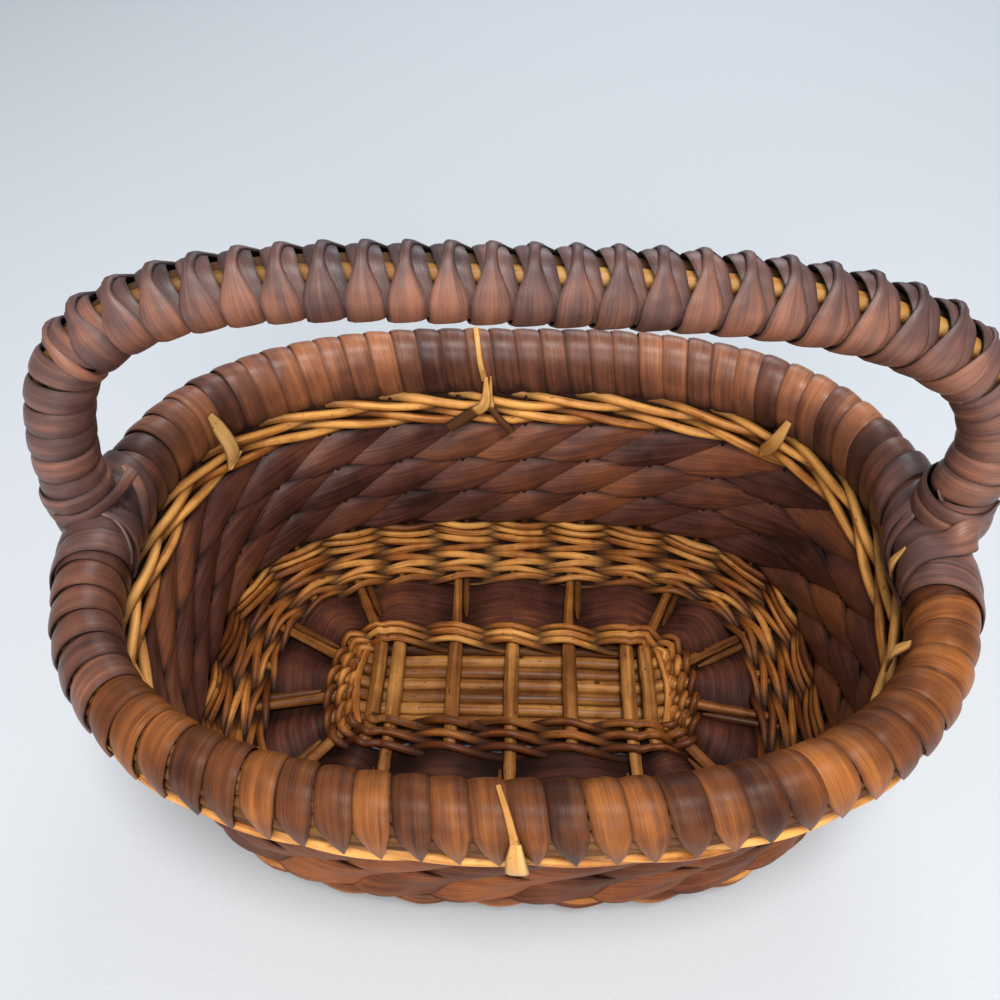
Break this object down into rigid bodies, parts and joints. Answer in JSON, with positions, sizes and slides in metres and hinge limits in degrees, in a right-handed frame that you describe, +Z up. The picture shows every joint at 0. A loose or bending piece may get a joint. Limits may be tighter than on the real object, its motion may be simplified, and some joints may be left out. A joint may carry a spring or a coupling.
{
  "type": "handled gathering basket",
  "caption": "Oval woven basket with a crossed-rod willow base, dark splint walls, a splint-wound rim and a fixed bow handle wound with crossed splint.",
  "frame": {"origin": "middle of the basket's whole footprint, handle included, on the surface it stands on", "axes": "+Z up out of the mouth; +X along the long side and the handle's span; +Y across the mouth, towards the side the handle's bow leans to"},
  "size_m": [0.3592, 0.2574, 0.2359],
  "materials": {
    "willow_rod": "peeled and smoked willow rods, satin",
    "willow_golden": "golden-brown willow, satin, darker in the gaps",
    "willow_pale": "pale willow, satin",
    "splint_dark": "very dark brown stained splint with a soft sheen",
    "splint_red_brown": "red-brown stained splint, satin to glossy"
  },
  "bodies": {
    "root": {"base_rod_long_1": "willow_rod", "base_rod_long_2": "willow_rod", "base_rod_long_3": "willow_rod", "base_rod_long_4": "willow_rod", "base_rod_long_5": "willow_rod", "base_rod_long_6": "willow_rod", "base_rod_cross_1": "willow_rod", "base_rod_cross_2": "willow_rod", "base_rod_cross_3": "willow_rod", "base_rod_cross_4": "willow_rod", "base_rod_cross_5": "willow_rod", "base_rod_cross_6": "willow_rod", "base_rod_cross_7": "willow_rod", "base_inner_twining": "willow_golden", "base_splint": "splint_dark", "base_wale_outer": "willow_golden", "base_wale_inner": "willow_golden", "side_stake_01": "willow_golden", "side_stake_02": "willow_golden", "side_stake_03": "willow_golden", "side_stake_04": "willow_golden", "side_stake_05": "willow_golden", "side_stake_06": "willow_golden", "side_stake_07": "willow_golden", "side_stake_08": "willow_golden", "side_stake_09": "willow_golden", "side_stake_10": "willow_golden", "side_stake_11": "willow_golden", "side_stake_12": "willow_golden", "side_stake_13": "willow_golden", "side_stake_14": "willow_golden", "side_stake_15": "willow_golden", "side_stake_16": "willow_golden", "side_stake_17": "willow_golden", "side_stake_18": "willow_golden", "side_stake_19": "willow_golden", "side_stake_20": "willow_golden", "side_stake_21": "willow_golden", "side_stake_22": "willow_golden", "side_stake_23": "willow_golden", "side_stake_24": "willow_golden", "side_stake_25": "willow_golden", "side_stake_26": "willow_golden", "wall_splint_1": "splint_dark", "wall_splint_2": "splint_dark", "wall_splint_3": "splint_dark", "pale_wale_1": "willow_golden", "pale_wale_2": "willow_golden", "rim_core": "willow_golden", "rim_winding": "splint_red_brown", "handle_core": "willow_pale", "handle_winding": "splint_red_brown", "handle_cross_winding": "splint_red_brown", "handle_lashing_left": "splint_red_brown", "handle_lashing_right": "splint_red_brown", "rim_tie_far_middle": "willow_pale", "rim_tie_far_left": "willow_pale", "rim_tie_far_right": "willow_pale", "rim_tie_right": "willow_pale", "rim_tie_near_middle": "willow_pale"}
  },
  "joints": []
}
